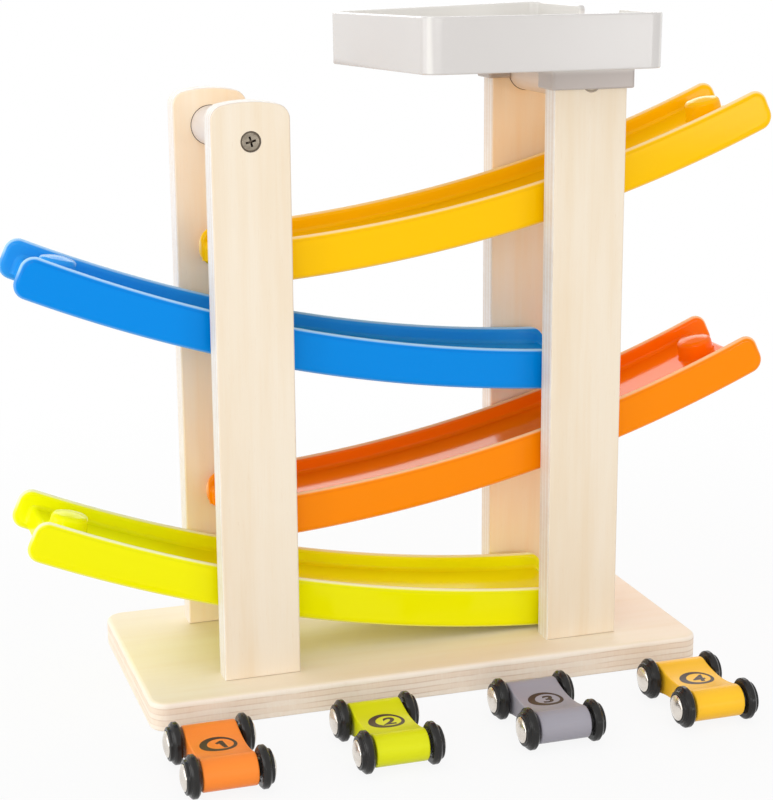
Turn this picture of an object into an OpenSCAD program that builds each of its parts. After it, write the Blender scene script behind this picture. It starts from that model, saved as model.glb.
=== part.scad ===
// Click clack track toy: a plywood tower that carries four curved moulded tracks and a parking
// tray, with four small wooden cars standing in a row before it.
// Millimetres. X runs along the tracks, Y runs to the back and Z is up.
// The origin lies under the middle of the base board, on the surface that it stands on.

/* [Base board] */
// Length of the base board along the tracks
base_l = 250; // [225:1:320]
// Width of the base board from front to back
base_w = 115.5; // [100:0.5:160]
// Thickness of the base board
base_t = 12.5; // [9:0.5:20]
// Radius of the base board's corners seen from above
base_corner_r = 8; // [3:0.5:20]
// Rounding along the base board's top edge
base_edge_r = 2; // [0.5:0.5:3]

/* [Posts] */
// Width of a post along the tracks
post_w = 33; // [28:0.5:45]
// Thickness of a post from front to back
post_t = 11.2; // [9:0.2:18]
// Distance from the middle of the base to the middle of each post
post_x = 73.7; // [66:0.1:85]
// Rounding along the long edges of a post
post_edge_r = 0.8; // [0.3:0.1:2]
// Radius of the top corners of the left posts
post_corner_r = 6.5; // [3:0.5:10]
// Rise of the crown on top of the left posts
post_crown = 2.6; // [1:0.2:5]

/* [Cross dowels] */
// Diameter of the round cross dowels
dowel_d = 17; // [12:0.5:20]
// Height of the left dowel's axis above the side walls of the top track
left_dowel_rise = 43.2; // [30:0.1:60]
// Left dowel's axis to the top of the left posts
left_dowel_drop = 16; // [13:0.5:25]
// Height of the right dowel's axis above the side walls of the top track
right_dowel_rise = 38.4; // [30:0.1:60]
// Right dowel's axis to the top of the right posts
right_dowel_drop = 9.2; // [9:0.1:16]

/* [Screws] */
// Diameter of the screw heads
screw_head_d = 8; // [6:0.2:10]
// Diameter of the screw shanks
screw_d = 3.8; // [3:0.1:4.6]
// Length of the screws
screw_l = 32; // [26:1:36]
// Depth that the screw heads under the base are sunk
screw_sink = 0.6; // [0.2:0.1:2]
// Distance between the two screws that hold one post
screw_pitch = 17; // [14:0.5:20]

/* [Tracks] */
// Radius of the tracks' curved underside
track_r = 665; // [550:5:850]
// Width of a track over its side walls
track_w = 53; // [48:0.2:60]
// Height of a track's side walls
track_h = 17.9; // [15:0.1:20]
// Thickness of the side walls
track_wall = 3; // [2:0.1:3.5]
// Height of the running deck above the lower edge of the side walls
track_deck = 10.6; // [7:0.1:12]
// Thickness of the deck and of the skirts that close its ends
track_floor = 2.4; // [1.6:0.1:3.5]
// Radius of the corners at both ends of the side walls
track_corner_r = 6; // [3:0.5:6.5]
// Length of the low end past the middle of its post
track_low_end = 7.7; // [4:0.1:12]
// Length of the high end past the middle of its post
track_high_end = 96.6; // [85:0.1:110]
// Length of the side walls past the end of the deck at the high end
track_ears = 7.2; // [6.4:0.1:14]
// Distance from the low end to the lowest point of the curve
track_lead = 21.6; // [5:0.1:40]
// Gap between the base board and the low end of the lowest track
track_lift = 0.3; // [0.2:0.1:4]
// Rise from one track to the next
track_pitch = 55.4; // [50:0.1:65]
// Space between a track and each post
track_side_gap = 4.2; // [2:0.1:8]

/* [Track pegs] */
// Diameter of the spacer collars on the tracks
collar_d = 11; // [9:0.5:13]
// Diameter of the pegs that plug into the posts
peg_d = 6; // [4:0.5:8]
// Depth that the pegs reach into the posts
peg_l = 6; // [4:0.5:7]
// Clearance round a peg and at its tip
peg_clear = 0.1; // [0.05:0.05:0.3]

/* [Stop knobs] */
// Diameter of a stop knob at its top
knob_d = 16; // [10:0.5:18]
// Extra diameter of a stop knob at its foot
knob_draft = 0.6; // [0.4:0.1:2]
// Height of a stop knob above the side walls
knob_rise = 0.9; // [0.4:0.1:5]
// Distance from the end of the deck to the middle of the knob
knob_setback = 13.3; // [11:0.1:20]
// Rounding of the knob's top edge
knob_edge_r = 1.5; // [0.5:0.1:3]

/* [Parking tray] */
// Length of the tray along the tracks
tray_l = 104.8; // [90:0.1:130]
// Width of the tray from front to back
tray_w = 136; // [110:1:170]
// Depth of the tray inside
tray_depth = 17.5; // [12:0.5:25]
// Thickness of the tray's rim and skirt
tray_wall = 3; // [2:0.1:4]
// Thickness of the tray floor
tray_floor = 2.4; // [1.6:0.1:4]
// Depth of the skirt below the tray floor
tray_skirt = 2.6; // [1:0.2:6]
// Radius of the tray's corners
tray_corner_r = 8; // [5:0.5:16]
// Length of the tray past the right posts
tray_overhang = 5.6; // [4:0.1:12]
// Width of the exit gap in the tray's right end
exit_w = 42.5; // [40:0.5:60]
// Distance from the middle of the tray's right end to the middle of the exit gap
exit_shift = -4.5; // [-8:0.5:8]
// Rounding beside the exit gap
exit_r = 2.5; // [1:0.5:5]
// Depth of the sockets that slip over the right posts
socket_depth = 12.2; // [8:0.2:18]
// Thickness of the socket walls
socket_wall = 2.2; // [1.6:0.1:3]
// Clearance between a socket and its post
socket_clear = 0.3; // [0.2:0.05:0.6]
// Gap between the tray floor and the tops of the right posts
tray_seat_gap = 0.2; // [0.1:0.05:0.4]

/* [Cars] */
// Diameter of the wheels
wheel_d = 17.2; // [15:0.2:20]
// Width of a wheel
wheel_w = 5.7; // [4.5:0.1:7]
// Width of the bevelled tread
tread_w = 4.2; // [3:0.1:5]
// Diameter of the step outside the tread
wheel_step_d = 13.8; // [12:0.2:14.4]
// Size of the bevels on the tread
tread_bevel = 0.9; // [0.3:0.1:1.2]
// Distance between the front and rear axles
wheelbase = 32.4; // [26:0.2:40]
// Width of the car body between the wheels
car_w = 22; // [18:0.5:26]
// Radius of the body round each axle
lobe_r = 6.6; // [5.6:0.1:7]
// Thickness of the body at its waist
waist_t = 8.4; // [6:0.2:10]
// Gap between a wheel and the body
wheel_gap = 0.5; // [0.3:0.1:1]
// Diameter of the axles
axle_d = 3; // [2.4:0.1:4]
// Clearance round an axle in the body
axle_clear = 0.08; // [0.03:0.01:0.1]
// Diameter of the hub caps
cap_d = 10.6; // [8:0.2:11.6]
// Height of the domed hub caps
cap_h = 1.7; // [1.2:0.1:3]
// Depth that an axle end reaches into its hub cap
cap_socket = 0.8; // [0.4:0.1:1]
// Distance between neighbouring cars in the row
car_pitch = 69.2; // [60:0.2:85]
// Distance from the middle of the base to the middle of the row
row_shift = -4.2; // [-15:0.1:15]
// Gap between the base board and the cars' rear wheels
car_gap = 22; // [21:0.5:40]

/* [Hidden] */
$fn = 96;
arc_fn = 720;
eps = 0.01;
// How far a corner's circle stands out, so that it crosses the edges beside it cleanly
corner_kink = 0.15;
cross_slot_l = 0.56;
cross_slot_w = 0.12;
cross_slot_h = 1.3;

birch = [0.93, 0.84, 0.70];
birch_end = [0.96, 0.91, 0.82];
zinc = [0.66, 0.64, 0.60];
nickel = [0.82, 0.78, 0.73];
tyre_black = [0.11, 0.11, 0.12];
tray_grey = [0.86, 0.85, 0.83];
track_names = ["lime_track", "orange_track", "blue_track", "yellow_track"];
track_colours = [[0.88, 0.91, 0.05], [1.00, 0.42, 0.02], [0.00, 0.50, 0.90], [1.00, 0.74, 0.00]];
car_colours = [[1.00, 0.52, 0.16], [0.85, 0.87, 0.04], [0.60, 0.57, 0.63], [1.00, 0.74, 0.14]];

// Places of the posts
post_y = track_w / 2 + track_side_gap + post_t / 2;
post_in_y = post_y - post_t / 2;
post_out_y = post_y + post_t / 2;

// Places along one track, which rises to the right until it is turned round
low_x = -(post_x + track_low_end);
high_x = post_x + track_high_end;
arc_x = low_x - track_lead;
top_r = track_r - track_h;
mid_r = track_r - track_h / 2;
end_a = asin((high_x - arc_x) / track_r);
floor_a = end_a - asin(track_ears / track_r);
low_a = asin((low_x - arc_x) / track_r);
skirt_a = asin(track_floor / track_r);
deck_r = track_r - track_deck;
top_level = len(track_names) - 1;

// Rise of the track curve above its lowest point, at a place along X and a radius
function arc_z(x, r) = track_r - sqrt(r * r - (x - arc_x) * (x - arc_x));
function arc_x_at(a, r) = arc_x + r * sin(a);
function arc_z_at(a, r) = track_r - r * cos(a);
function track_z(level) = base_t + track_lift - arc_z(low_x, track_r) + level * track_pitch;
// Tracks rise to the right and to the left by turns, from a right-hand low end at the bottom
function track_side(level) = level % 2 == 0 ? -1 : 1;
// Height of a track's pegs at the post on the given side
function peg_z(level, side) = track_z(level) + arc_z(side * track_side(level) * post_x, mid_r);

// Heights at the top of the tower
left_dowel_z = track_z(top_level) + arc_z(-post_x, top_r) + left_dowel_rise;
left_top_z = left_dowel_z + left_dowel_drop;
right_dowel_z = track_z(top_level) + arc_z(post_x, top_r) + right_dowel_rise;
right_top_z = right_dowel_z + right_dowel_drop;

// Places of the tray
tray_x1 = post_x + post_w / 2 + tray_overhang;
tray_x0 = tray_x1 - tray_l;
tray_floor_z = right_top_z + tray_seat_gap;
tray_top_z = tray_floor_z + tray_floor + tray_depth;
tray_bottom_z = tray_floor_z - tray_skirt;
socket_w = post_w + 2 * (socket_clear + socket_wall);
socket_t = post_t + 2 * (socket_clear + socket_wall);

// Places in one car, with the axles along X and the front to the viewer
axle_z = wheel_d / 2;
wheel_in_x = car_w / 2 + wheel_gap;
wheel_out_x = wheel_in_x + wheel_w;
axle_end_x = wheel_out_x + cap_socket;
waist_r = (pow(wheelbase / 2, 2) + pow(waist_t / 2, 2) - pow(lobe_r, 2)) / (2 * lobe_r - waist_t);
waist_l = wheelbase * waist_r / (waist_r + lobe_r);
row_y = -(base_w / 2 + car_gap + wheel_d / 2 + wheelbase / 2);
function car_x(n) = row_shift + (n - (len(car_colours) + 1) / 2) * car_pitch;

axle_names = ["front", "rear"];
side_names = ["left", "right"];
tower_nodes = [
    "base_board", "left_front_post", "left_back_post", "right_front_post", "right_back_post",
    "left_dowel", "right_dowel", "dowel_screws", "base_screws", "parking_tray"
];
car_nodes = concat(
    ["body"],
    [for (a = axle_names) str(a, "_axle")],
    [for (a = axle_names) for (s = side_names) str(a, "_", s, "_wheel")],
    [for (a = axle_names) str(a, "_hub_caps")]
);

// A flat outline with round corners, centred on the origin
module round_rect(size, r) {
    square([size[0] - 2 * r, size[1]], center = true);
    square([size[0], size[1] - 2 * r], center = true);
    for (x = [-1, 1]) for (y = [-1, 1])
        translate([x * (size[0] / 2 - r), y * (size[1] / 2 - r)]) circle(r);
}

// The outline of a board's edge, with its two top corners rounded
module edge_outline(w, t, r) {
    translate([-w / 2, 0]) square([w, t - r]);
    translate([-w / 2 + r, 0]) square([w - 2 * r, t]);
    for (x = [-1, 1]) translate([x * (w / 2 - r), t - r]) circle(r);
}

// Stands an outline up so that its Y becomes Z, and gives it a thickness along Y
module along_y(t) {
    rotate([90, 0, 0]) translate([0, 0, -t / 2]) linear_extrude(t) children();
}

// A countersunk cross-head screw that points down, with the top of its head at the origin
module screw() {
    head_r = screw_head_d / 2;
    shank_r = screw_d / 2;
    tip_l = screw_d;
    slot = [cross_slot_l * screw_head_d, cross_slot_w * screw_head_d, cross_slot_h];
    difference() {
        rotate_extrude() polygon([
            [0, 0], [head_r, 0], [shank_r, -(head_r - shank_r)],
            [shank_r, -(screw_l - tip_l)], [0, -screw_l]
        ]);
        for (a = [0, 90]) rotate([0, 0, a])
            translate([0, 0, -slot[2] / 2 + eps]) cube(slot, center = true);
    }
}

// The hole that a screw sits in, with its countersink open above
module screw_hole(l, above) {
    head_r = screw_head_d / 2;
    shank_r = screw_d / 2;
    rotate_extrude() polygon([
        [0, above], [head_r, above], [head_r, 0], [shank_r, -(head_r - shank_r)], [shank_r, -l], [0, -l]
    ]);
}

// Places of the screws: through the posts into the dowels, and up through the base into the posts
module at_dowel_screws(sides, fronts) {
    for (side = sides) for (front = fronts)
        translate([side * post_x, front * post_out_y, side < 0 ? left_dowel_z : right_dowel_z])
            rotate([front * -90, 0, 0]) children();
}

module at_base_screws(sides, fronts) {
    for (side = sides) for (front = fronts) for (k = [-1, 1])
        translate([side * post_x + k * screw_pitch / 2, front * post_y, screw_sink])
            rotate([180, 0, 0]) children();
}

module base_board() {
    straight_l = base_l - 2 * base_corner_r;
    straight_w = base_w - 2 * base_corner_r;
    corner_half = base_corner_r - base_edge_r;
    color(birch) difference() {
        union() {
            along_y(straight_w) edge_outline(base_l, base_t, base_edge_r);
            rotate([0, 0, 90]) along_y(straight_l) edge_outline(base_w, base_t, base_edge_r);
            for (x = [-1, 1]) for (y = [-1, 1])
                translate([x * straight_l / 2, y * straight_w / 2, 0]) rotate_extrude() {
                    square([base_corner_r, base_t - base_edge_r]);
                    square([corner_half, base_t]);
                    intersection() {
                        translate([corner_half, base_t - base_edge_r]) circle(base_edge_r);
                        square([base_corner_r, base_t]);
                    }
                }
        }
        at_base_screws([-1, 1], [-1, 1]) screw_hole(base_t, screw_sink + 1);
    }
}

// The front of a left post: straight sides, round corners and a crowned top
module crowned_outline(h) {
    inset = post_corner_r - corner_kink;
    crown_r = pow(post_w / 2, 2) / (2 * post_crown) + post_crown / 2;
    crown_z = h - crown_r;
    corner_x = post_w / 2 - inset;
    corner_z = crown_z + sqrt(pow(crown_r - inset, 2) - pow(corner_x, 2));
    reach = 1.5;
    far_x = reach * corner_x;
    far_z = crown_z + reach * (corner_z - crown_z);
    intersection() {
        translate([-post_w / 2, 0]) square([post_w, h]);
        union() {
            translate([-post_w, 0]) square([2 * post_w, crown_z]);
            translate([0, crown_z]) circle(crown_r, $fn = arc_fn);
        }
        union() {
            translate([-post_w, 0]) square([2 * post_w, corner_z]);
            polygon([[0, crown_z], [far_x, far_z], [-far_x, far_z]]);
            for (x = [-1, 1]) translate([x * corner_x, corner_z]) circle(post_corner_r);
        }
    }
}

// A post on one side (-1 left, 1 right) at the front (-1) or the back (1)
module post(side, front) {
    h = (side < 0 ? left_top_z : right_top_z) - base_t;
    color(birch) difference() {
        translate([side * post_x, front * post_y, base_t]) intersection() {
            linear_extrude(h) round_rect([post_w, post_t], post_edge_r);
            if (side < 0) along_y(post_t + 1) crowned_outline(h);
        }
        at_dowel_screws([side], [front]) screw_hole(post_t + 1, 1);
        at_base_screws([side], [front]) screw_hole(screw_l, 1);
        for (level = [0 : top_level])
            translate([side * post_x, front * (post_in_y - 1), peg_z(level, side)])
                rotate([front * -90, 0, 0])
                    cylinder(d = peg_d + 2 * peg_clear, h = 1 + peg_l + peg_clear);
    }
}

// A round cross dowel between two posts, drilled at both ends for its screws
module dowel(side) {
    z = side < 0 ? left_dowel_z : right_dowel_z;
    color(birch_end) difference() {
        translate([side * post_x, 0, z]) rotate([90, 0, 0])
            cylinder(d = dowel_d, h = 2 * post_in_y, center = true);
        at_dowel_screws([side], [-1, 1]) screw_hole(screw_l, 1);
    }
}

module dowel_screws() {
    color(zinc) at_dowel_screws([-1, 1], [-1, 1]) screw();
}

module base_screws() {
    color(zinc) at_base_screws([-1, 1], [-1, 1]) screw();
}

// A wedge of the plane between two angles, measured from straight down
module wedge(a0, a1) {
    far = 2 * track_r;
    polygon([[0, 0], far * [sin(a0), -cos(a0)], far * [sin(a1), -cos(a1)]]);
}

module ring(r_out, r_in) {
    difference() {
        circle(r_out, $fn = arc_fn);
        circle(r_in, $fn = arc_fn);
    }
}

// A whole track seen from the front, about the centre of its curve, with round corners
module track_outline() {
    inset = track_corner_r - corner_kink;
    turn = asin(inset / mid_r);
    inner_r = top_r + inset;
    outer_r = track_r - inset;
    intersection() {
        ring(track_r, top_r);
        wedge(low_a, end_a);
        union() {
            wedge(low_a + turn, end_a - turn);
            for (end = [[low_a + turn, -1], [end_a - turn, 0]]) rotate(end[0]) {
                for (r = [inner_r, outer_r]) translate([0, -r]) circle(track_corner_r);
                translate([end[1] * track_h, -outer_r]) square([track_h, outer_r - inner_r]);
            }
        }
    }
}

// The space above the running deck and past its high end
module channel_outline() {
    circle(deck_r, $fn = arc_fn);
    wedge(floor_a, end_a + 5);
}

// The hollow under the deck, between the skirts at its two ends
module hollow_outline() {
    intersection() {
        ring(track_r + 1, deck_r + track_floor);
        wedge(low_a + skirt_a, floor_a - skirt_a);
    }
}

// A flat-topped stop knob that stands on the deck near the high end, square to the track's chord
module stop_knob() {
    tilt = atan(arc_z(high_x, track_r) / (high_x - low_x));
    knob_a = floor_a - asin(knob_setback / track_r);
    h = track_h + knob_rise;
    flat_r = knob_d / 2 - knob_edge_r;
    intersection() {
        translate([arc_x_at(knob_a, track_r), 0, arc_z_at(knob_a, track_r)])
            rotate([0, -tilt, 0]) rotate_extrude() {
                polygon([
                    [0, 0], [(knob_d + knob_draft) / 2, 0], [knob_d / 2, h - knob_edge_r],
                    [flat_r, h - knob_edge_r], [flat_r, h], [0, h]
                ]);
                translate([flat_r, h - knob_edge_r]) intersection() {
                    circle(knob_edge_r);
                    square(knob_edge_r);
                }
            }
        translate([arc_x, 0, track_r]) along_y(track_w) circle(deck_r + track_floor / 2, $fn = arc_fn);
    }
}

// A track with side walls along its deck, its stop knob, and the collars and pegs that hold it in the posts
module track(level) {
    collar_y = (track_w - track_wall) / 2;
    color(track_colours[level]) translate([0, 0, track_z(level)])
        rotate([0, 0, track_side(level) < 0 ? 180 : 0]) {
            translate([arc_x, 0, track_r]) difference() {
                along_y(track_w) track_outline();
                along_y(track_w - 2 * track_wall) {
                    channel_outline();
                    hollow_outline();
                }
            }
            stop_knob();
            for (x = [-post_x, post_x]) for (front = [-1, 1])
                translate([x, front * collar_y, arc_z(x, mid_r)]) rotate([front * -90, 0, 0]) {
                    cylinder(d = collar_d, h = post_in_y - collar_y);
                    cylinder(d = peg_d, h = post_in_y - collar_y + peg_l);
                }
        }
}

// The tray: a pan with a skirt under it, an exit gap in its right end and two post sockets
module parking_tray() {
    outer = [tray_l, tray_w];
    inner = outer - 2 * [tray_wall, tray_wall];
    inner_r = tray_corner_r - tray_wall;
    exit_z = tray_floor_z + tray_floor;
    exit_h = tray_depth + 1;
    color(tray_grey) {
        translate([(tray_x0 + tray_x1) / 2, 0, 0]) difference() {
            translate([0, 0, tray_bottom_z])
                linear_extrude(tray_top_z - tray_bottom_z) round_rect(outer, tray_corner_r);
            translate([0, 0, exit_z]) linear_extrude(exit_h) round_rect(inner, inner_r);
            translate([0, 0, tray_bottom_z - 1])
                linear_extrude(tray_skirt + 1) round_rect(inner, inner_r);
            translate([tray_l / 2 - tray_wall / 2, exit_shift, exit_z])
                rotate([0, 0, 90]) exit_cutter(exit_h);
        }
        for (front = [-1, 1]) post_socket(front);
    }
}

// The space of the exit gap, with a rounded brow on the rim at both sides
module exit_cutter(h) {
    brow_z = tray_depth - exit_r;
    along_y(2 * tray_wall) difference() {
        union() {
            translate([-exit_w / 2, 0]) square([exit_w, h]);
            translate([-exit_w / 2 - exit_r, brow_z]) square([exit_w + 2 * exit_r, h - brow_z]);
        }
        for (x = [-1, 1]) translate([x * (exit_w / 2 + exit_r), brow_z]) circle(exit_r);
    }
}

// A socket round the top of one right post, open where the cross dowel meets the post
module post_socket(front) {
    slot_w = dowel_d + 2 * socket_clear;
    translate([post_x, front * post_y, tray_floor_z - socket_depth]) difference() {
        linear_extrude(socket_depth + tray_floor / 2) square([socket_w, socket_t], center = true);
        translate([0, 0, -1]) linear_extrude(socket_depth + 1)
            square([post_w, post_t] + 2 * [socket_clear, socket_clear], center = true);
        translate([-slot_w / 2, front > 0 ? -socket_t : 0, -1]) cube([slot_w, socket_t, socket_depth + 1]);
    }
}

// The side of a car: a lobe round each axle with a waist between, in Y and Z about the car's middle
module car_outline() {
    for (y = [-1, 1]) translate([y * wheelbase / 2, 0]) circle(lobe_r);
    difference() {
        square([waist_l, 2 * lobe_r], center = true);
        for (z = [-1, 1]) translate([0, z * (waist_r + waist_t / 2)]) circle(waist_r, $fn = arc_fn);
    }
}

module at_car(n) {
    translate([car_x(n), row_y, axle_z]) children();
}

// An axle's place: the front one is nearer to the viewer
module at_axle(name) {
    translate([0, (name == "front" ? -1 : 1) * wheelbase / 2, 0]) children();
}

module car_body(n) {
    color(car_colours[n - 1]) at_car(n) difference() {
        rotate([0, 0, 90]) along_y(car_w) car_outline();
        for (a = axle_names) at_axle(a) rotate([0, 90, 0])
            cylinder(d = axle_d + 2 * axle_clear, h = car_w + 2, center = true);
    }
}

module car_axle(n, name) {
    color(zinc) at_car(n) at_axle(name) rotate([0, 90, 0])
        cylinder(d = axle_d, h = 2 * axle_end_x, center = true);
}

// A wheel with a bevelled tread and a smaller step on its outer side
module car_wheel(n, name, side) {
    r = wheel_d / 2;
    step_r = wheel_step_d / 2;
    color(tyre_black) at_car(n) at_axle(name) rotate([0, side == "left" ? -90 : 90, 0])
        translate([0, 0, wheel_in_x]) rotate_extrude() polygon([
            [axle_d / 2, 0], [r - tread_bevel, 0], [r, tread_bevel], [r, tread_w - tread_bevel],
            [r - tread_bevel, tread_w], [step_r, tread_w], [step_r, wheel_w - tread_bevel / 2],
            [step_r - tread_bevel / 2, wheel_w], [axle_d / 2, wheel_w]
        ]);
}

// The two domed caps that close the ends of one axle
module car_hub_caps(n, name) {
    r = cap_d / 2;
    brim = cap_h / 4;
    dome_r = (r * r + pow(cap_h - brim, 2)) / (2 * (cap_h - brim));
    color(nickel) at_car(n) at_axle(name) for (turn = [-90, 90]) rotate([0, turn, 0])
        translate([0, 0, wheel_out_x]) rotate_extrude() difference() {
            union() {
                square([r, brim]);
                intersection() {
                    translate([0, cap_h - dome_r]) circle(dome_r, $fn = arc_fn);
                    translate([0, brim]) square([r, cap_h]);
                }
            }
            square([axle_d / 2, cap_socket]);
        }
}

base_board();
post(-1, -1);  // left_front_post
post(-1, 1);  // left_back_post
post(1, -1);  // right_front_post
post(1, 1);  // right_back_post
dowel(-1);  // left_dowel
dowel(1);  // right_dowel
dowel_screws();
base_screws();
parking_tray();
for (level = [0 : top_level])
    track(level);
for (n = [1 : len(car_colours)]) {
    car_body(n);
    for (a = axle_names) {
        car_axle(n, a);
        car_hub_caps(n, a);
        for (s = side_names)
            car_wheel(n, a, s);
    }
}
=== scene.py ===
"""Looks of a click clack track toy: birch plywood tower, glossy curved tracks, parking tray and four cars."""
from math import asin, atan, atan2, cos, degrees, pi, radians, sin, sqrt, tan

import bmesh
import bpy
from mathutils import Matrix, Vector


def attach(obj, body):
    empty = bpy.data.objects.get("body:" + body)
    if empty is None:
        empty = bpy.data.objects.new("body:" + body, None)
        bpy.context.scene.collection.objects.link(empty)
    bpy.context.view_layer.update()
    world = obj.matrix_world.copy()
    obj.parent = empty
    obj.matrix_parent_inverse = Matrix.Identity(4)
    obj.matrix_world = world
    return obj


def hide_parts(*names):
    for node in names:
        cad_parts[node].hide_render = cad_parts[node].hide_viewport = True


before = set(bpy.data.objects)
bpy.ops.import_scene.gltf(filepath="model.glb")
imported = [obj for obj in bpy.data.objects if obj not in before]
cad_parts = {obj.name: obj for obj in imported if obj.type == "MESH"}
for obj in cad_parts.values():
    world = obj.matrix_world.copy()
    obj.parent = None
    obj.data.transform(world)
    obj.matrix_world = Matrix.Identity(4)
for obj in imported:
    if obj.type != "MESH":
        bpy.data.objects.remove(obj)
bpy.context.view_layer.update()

MM = 0.001

# Base board and posts, in millimetres as in the part's source
BASE_L, BASE_W, BASE_T, BASE_CORNER, BASE_EDGE = 250.0, 115.5, 12.5, 8.0, 2.0
POST_W, POST_T, POST_X, POST_CORNER, POST_CROWN = 33.0, 11.2, 73.7, 6.5, 2.6
BASE_FOOT_EDGE, POST_EDGE = 0.8, 0.9
POST_PLY_T, BASE_PLY_T = 1.6, 2.5
LEFT_DOWEL_RISE, LEFT_TOP_RISE, RIGHT_DOWEL_RISE, RIGHT_TOP_RISE = 43.2, 16.0, 38.4, 9.2
# Dowel ends: the bead and line where a rod meets a post are painted dark as the shadow of the gap there
DOWEL_D, JOINT_BEAD, JOINT_LINE, JOINT_FADE = 17.0, 0.24, 0.25, 0.1

# Screws; the cross is cut through three levels of half length, half width and height
SCREW_HEAD_D, SCREW_PITCH, SCREW_D, SCREW_L = 8.0, 17.0, 3.8, 32.0
SCREW_SEAT, SCREW_TURN, SCREW_BRIM, SCREW_CONE = 0.4, 14.0, 0.2, 1.6
CROSS_CUT = ((2.4, 0.5, 0.5), (2.1, 0.42, -0.1), (1.0, 0.26, -1.6))
BASE_HOLE_GAP, BASE_HOLE_DEPTH, POST_HOLE_GAP, POST_HOLE_DEPTH = 0.2, 4.0, 0.3, 3.0

# Tracks
TRACK_R, TRACK_W, TRACK_H, TRACK_WALL, TRACK_DECK, TRACK_FLOOR = 665.0, 53.0, 17.9, 3.0, 10.6, 2.4
TRACK_CORNER, LOW_END, HIGH_END, EARS, LEAD = 6.0, 7.7, 96.6, 7.2, 21.6
TRACK_LIFT, TRACK_PITCH, TRACK_SIDE_GAP = 0.3, 55.4, 4.2
TRACK_EDGE, DECK_EDGE, FILLET = (2.8, 1.45), 2.6, 2.0
# The last value is how strongly the painted shade line below a track's rim darkens the wall
LOW_CORNER, EDGE_SHADE_STRENGTH = 8.2, 0.3
DECK_SETBACK, DECK_ROOT, DECK_INSET, DECK_STEPS = 2.6, 1.2, 9.0, 72
LOW_SKIRT, HIGH_SKIRT = (3.2, 5.6), (5.6, 4.0, 2.5)
COLLAR_D, COLLAR_EDGE, COLLAR_GAP = 11.0, 0.4, 0.05
KNOB_D, KNOB_DRAFT, KNOB_RISE, KNOB_SETBACK, KNOB_EDGE = 16.0, 0.6, 1.3, 14.1, 2.2
KNOB_DOME, KNOB_ROOT, KNOB_FOOT = 0.9, 1.0, 2.0
KNOB_FLARE = ((0.7, 0.0), (0.7, 0.85), (0.2, 1.3), (0.0, 1.9))

# Tray
TRAY_L, TRAY_W, TRAY_DEPTH, TRAY_WALL, TRAY_FLOOR = 104.8, 136.0, 17.5, 3.0, 2.4
TRAY_SKIRT, TRAY_CORNER, TRAY_OVERHANG, TRAY_DRAFT, TRAY_EDGE = 2.6, 8.0, 5.6, 0.2, 0.75
TRAY_FILLET, TRAY_CUT_EDGE = 2.4, 0.5
DROOP_LOW, DROOP_RIM, DROOP_REACH, DROOP_LEVEL_Y, DROOP_POWER = 3.75, 3.0, 52.0, -35.0, 1.15
EXIT_W, EXIT_SHIFT, EXIT_R = 42.5, -4.5, 2.5
SOCKET_DEPTH, SOCKET_WALL, SOCKET_CLEAR, SEAT_GAP = 12.2, 2.2, 0.3, 0.2

# Cars
WHEEL_D, WHEEL_W, TREAD_W, TREAD_INSET, WHEEL_STEP_D, WHEELBASE = 17.2, 5.7, 4.2, 0.6, 13.8, 32.4
CAR_W, LOBE_R, WAIST_T, WHEEL_GAP, AXLE_D, AXLE_CLEAR = 22.0, 6.6, 8.4, 0.5, 3.0, 0.08
CAP_D, CAP_H, CAR_PITCH, ROW_SHIFT, CAR_GAP = 10.6, 1.7, 69.2, -4.2, 22.0
CAR_EDGE = 0.7

# Printed marks on the cars: plain rings and race numbers
MARK_FLAT, INK_LOW, INK_HIGH = 0.88, -0.1, 0.05
RING_R, RING_HOLE_R, RING_HOLE_X, RING_HOLE_Y = 7.5, 5.3, 0.9, 0.35
NUMBER_SIZE, NUMBER_SLANT, NUMBER_WEIGHT, NUMBER_WIDE = 10.2, 0.16, 0.3, 1.06
NUMBER_X, NUMBER_Y = 0.8, 0.2
NUMBER_ONE = [(-0.9, 1.7), (-0.4, 0.7), (0.55, 1.15), (1.65, -3.5), (3.2, -3.4), (2.35, 3.1), (1.25, 3.4)]

# Studio, in metres: a lamp has its spot, the height it aims at, its width, height and brightness
SKY_FILL = 0.86
FLOOR_HALF, FLOOR_DROP, FLOOR_GREY, PAPER_SHADE, PAPER_NEAR, PAPER_FAR = 6.0, 0.0002, 0.75, 0.1, 0.2, 0.55
SOFTBOXES = {
    "key_softbox": ((-1.0, -0.8, 0.75), 0.14, 1.1, 0.9, 0.4),
    "front_softbox": ((-0.5, -1.7, 0.5), 0.15, 1.0, 0.7, 2.4),
    "left_softbox": ((-1.4, 0.1, 0.3), 0.15, 1.0, 0.5, 2.4),
    "corner_strip": ((-0.79, -0.62, 0.085), 0.25, 0.07, 0.14, 10.0),
    "right_softbox": ((0.88, -1.45, 0.17), 0.2, 0.4, 0.2, 5.4),
    "back_softbox": ((0.0, 1.4, 0.85), 0.2, 2.0, 0.6, 2.1),
}
CAMERA_SPOT, CAMERA_LENS, CAMERA_SENSOR = (-0.25492, -0.77799, 0.32181), 85.087, 36.0
CAMERA_TURN = (0.3118, 0.2434, -0.0069)

# Places that follow from the sizes
POST_Y = TRACK_W / 2 + TRACK_SIDE_GAP + POST_T / 2
POST_IN, POST_OUT = POST_Y - POST_T / 2, POST_Y + POST_T / 2
TRACK_OUT, TRACK_IN = TRACK_W / 2, TRACK_W / 2 - TRACK_WALL
LOW_X, HIGH_X = -(POST_X + LOW_END), POST_X + HIGH_END
ARC_X = LOW_X - LEAD
END_A = asin((HIGH_X - ARC_X) / TRACK_R)
LOW_A = asin((LOW_X - ARC_X) / TRACK_R)
FLOOR_A = END_A - asin(EARS / TRACK_R)


def arc_z(x, r):
    """Height at x of a curve of radius r, above the track's lowest point."""
    return TRACK_R - sqrt(r * r - (x - ARC_X) ** 2)


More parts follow.
